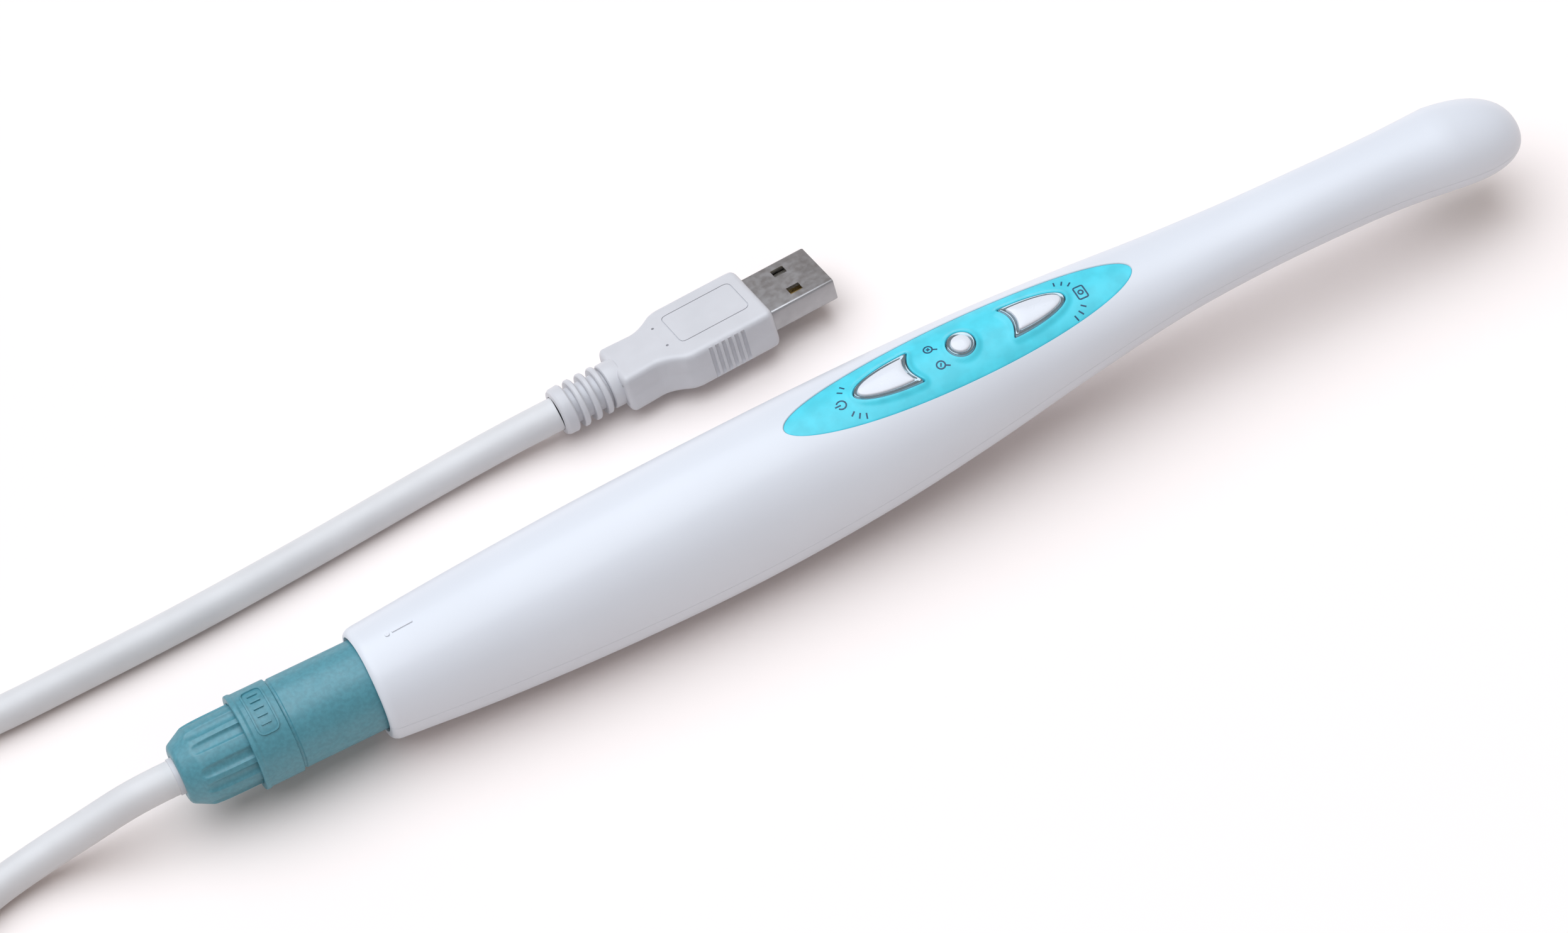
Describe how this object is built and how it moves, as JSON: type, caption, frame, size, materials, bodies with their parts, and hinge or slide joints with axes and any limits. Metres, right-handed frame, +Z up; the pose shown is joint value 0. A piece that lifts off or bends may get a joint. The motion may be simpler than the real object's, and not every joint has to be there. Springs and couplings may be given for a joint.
{
  "type": "intraoral camera",
  "caption": "Wand-shaped dental camera: ergonomic two-shell handpiece with push buttons, lens window and lamps in its head, and a USB cable on a push-pull connector.",
  "frame": {"origin": "on the table under the middle of the handpiece, halfway between the tip of the head and the cable end of the clamp nut", "axes": "+X from the cable end to the head, +Z up through the buttons, Y = 0 is the handpiece's plane of symmetry; the free cable, its coil and its plug lie on the same table"},
  "size_m": [0.4251, 0.095, 0.0278],
  "materials": {
    "shell_plastic": "gloss white moulded plastic",
    "panel_film": "cyan printed film, satin",
    "button_plastic": "clear-edged gloss white",
    "connector_plastic": "satin teal grey moulded plastic",
    "cable_jacket": "soft white jacket, low sheen",
    "plug_mould": "satin white moulding",
    "plug_steel": "satin nickel plate",
    "contact_gold": "gold plate",
    "board_green": "solder mask",
    "flex_amber": "polyimide film",
    "chip_black": "matt epoxy",
    "insert_black": "moulded black",
    "insert_white": "moulded white",
    "screw_steel": "bright zinc",
    "lens_glass": "coated optical glass",
    "lamp_yellow": "phosphor under clear resin",
    "seal_black": "soft black gasket",
    "wire_grey": "woven sleeve"
  },
  "bodies": {
    "handpiece": {"upper_shell": "shell_plastic", "lower_shell": "shell_plastic", "window_bezel": "shell_plastic", "control_panel": "panel_film", "on_off_switch": "insert_black", "zoom_switch": "insert_black", "capture_switch": "insert_black", "main_board": "board_green", "sensor_board": "board_green", "led_board": "board_green", "video_chip": "chip_black", "usb_chip": "chip_black", "image_sensor": "chip_black", "quartz_crystal": "screw_steel", "board_screw_1": "screw_steel", "board_screw_2": "screw_steel", "board_screw_3": "screw_steel", "board_screw_4": "screw_steel", "filter_capacitor": "insert_black", "lens_holder": "insert_black", "lens_barrel": "insert_black", "latch_body": "insert_black", "pin_insert": "insert_black", "socket_body": "insert_black", "coil_tie": "insert_black", "flex_connector": "insert_white", "cable_clamp": "insert_white", "wire_plug": "insert_white", "usb_tongue": "insert_white", "flex_ribbon": "flex_amber", "objective_lens": "lens_glass", "window_glass": "lens_glass", "led_lamp_1": "lamp_yellow", "led_lamp_2": "lamp_yellow", "led_lamp_3": "lamp_yellow", "led_lamp_4": "lamp_yellow", "led_lamp_5": "lamp_yellow", "led_lamp_6": "lamp_yellow", "window_seal": "seal_black", "clamp_nut": "connector_plastic", "cable_grommet": "plug_mould", "usb_mould": "plug_mould", "cable_end": "cable_jacket", "cable_near": "cable_jacket", "cable_far": "cable_jacket", "cable_coil": "cable_jacket", "wire_bundle": "wire_grey", "usb_shell": "plug_steel", "usb_contact_1": "contact_gold", "usb_contact_2": "contact_gold", "usb_contact_3": "contact_gold", "usb_contact_4": "contact_gold"},
    "on_off_push": {"on_off_button": "button_plastic", "on_off_plunger": "chip_black"},
    "zoom_push": {"zoom_button": "button_plastic", "zoom_plunger": "chip_black"},
    "capture_push": {"capture_button": "button_plastic", "capture_plunger": "chip_black"},
    "sleeve": {"release_sleeve": "connector_plastic"}
  },
  "joints": [
    {"name": "on_off_press", "type": "slide", "parent": "handpiece", "child": "on_off_push", "axis": [0, 0, -1], "range_m": [0, 0.0005], "stiffness_N_per_m": 1500},
    {"name": "zoom_press", "type": "slide", "parent": "handpiece", "child": "zoom_push", "axis": [0, 0, -1], "range_m": [0, 0.0005], "stiffness_N_per_m": 1500},
    {"name": "capture_press", "type": "slide", "parent": "handpiece", "child": "capture_push", "axis": [0, 0, -1], "range_m": [0, 0.0005], "stiffness_N_per_m": 1500},
    {"name": "sleeve_pull", "type": "slide", "parent": "handpiece", "child": "sleeve", "axis": [-1, 0, 0], "range_m": [0, 0.0015], "stiffness_N_per_m": 2000}
  ]
}
